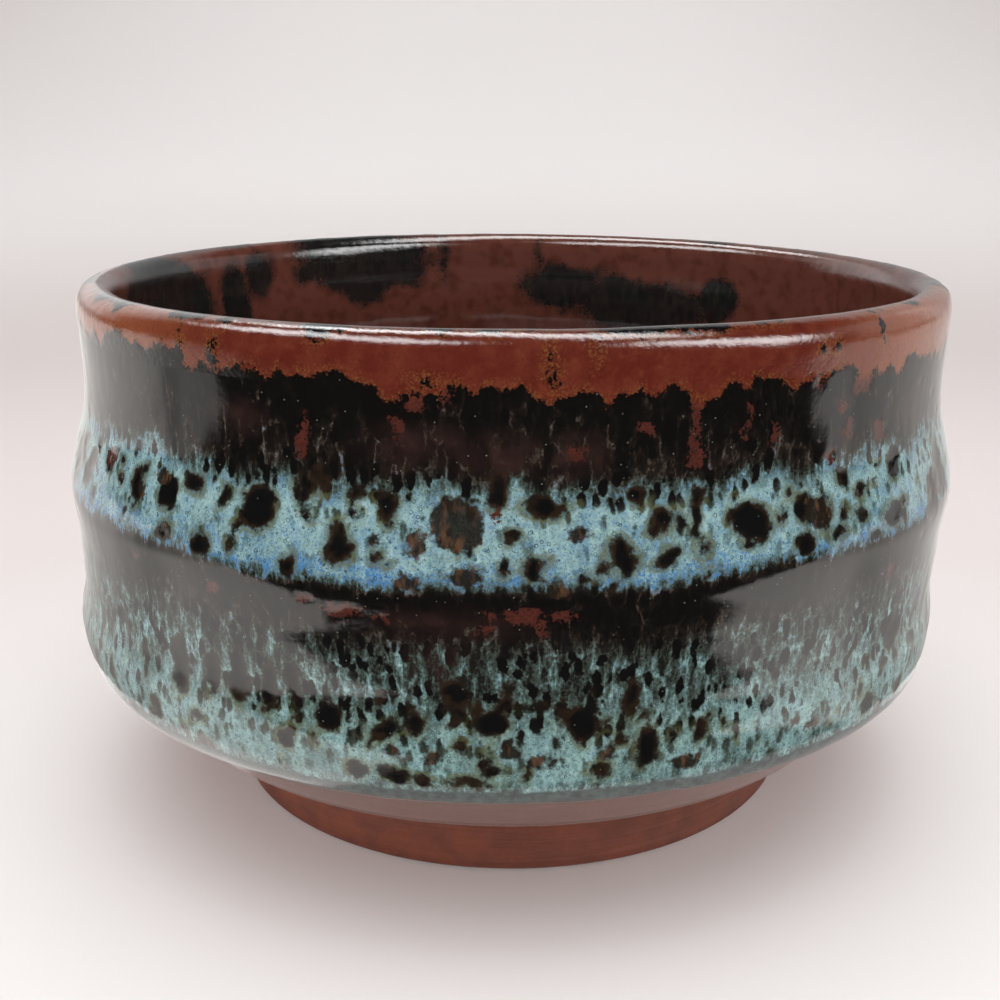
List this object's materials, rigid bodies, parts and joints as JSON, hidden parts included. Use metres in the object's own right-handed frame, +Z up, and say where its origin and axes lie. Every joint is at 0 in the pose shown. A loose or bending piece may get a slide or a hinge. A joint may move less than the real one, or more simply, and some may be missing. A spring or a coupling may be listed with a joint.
{
  "type": "matcha bowl",
  "caption": "Thrown half-cylinder tea bowl with a soft belly, a turned shoulder, a foot ring and layered glaze under a round red lip.",
  "frame": {"origin": "middle of the face that the foot ring stands on", "axes": "+Z up along the turning axis; -Y is the side that the main view shows"},
  "size_m": [0.124, 0.124, 0.0724],
  "materials": {
    "bare_clay": "bare red stoneware clay",
    "foot_clay": "bare red stoneware clay with fine turning lines",
    "thin_tan_glaze": "thin glossy tan glaze over red clay",
    "turquoise_black_glaze": "glossy black glaze that breaks to mottled turquoise where it ran",
    "red_brown_lip_glaze": "glossy red-brown iron glaze",
    "red_brown_liner_glaze": "glossy dark red-brown glaze with black patches"
  },
  "bodies": {
    "root": {"clay_bowl": "bare_clay", "foot_ring": "foot_clay", "base_glaze": "thin_tan_glaze", "outer_glaze": "turquoise_black_glaze", "lip_glaze": "red_brown_lip_glaze", "inner_glaze": "red_brown_liner_glaze"}
  },
  "joints": []
}
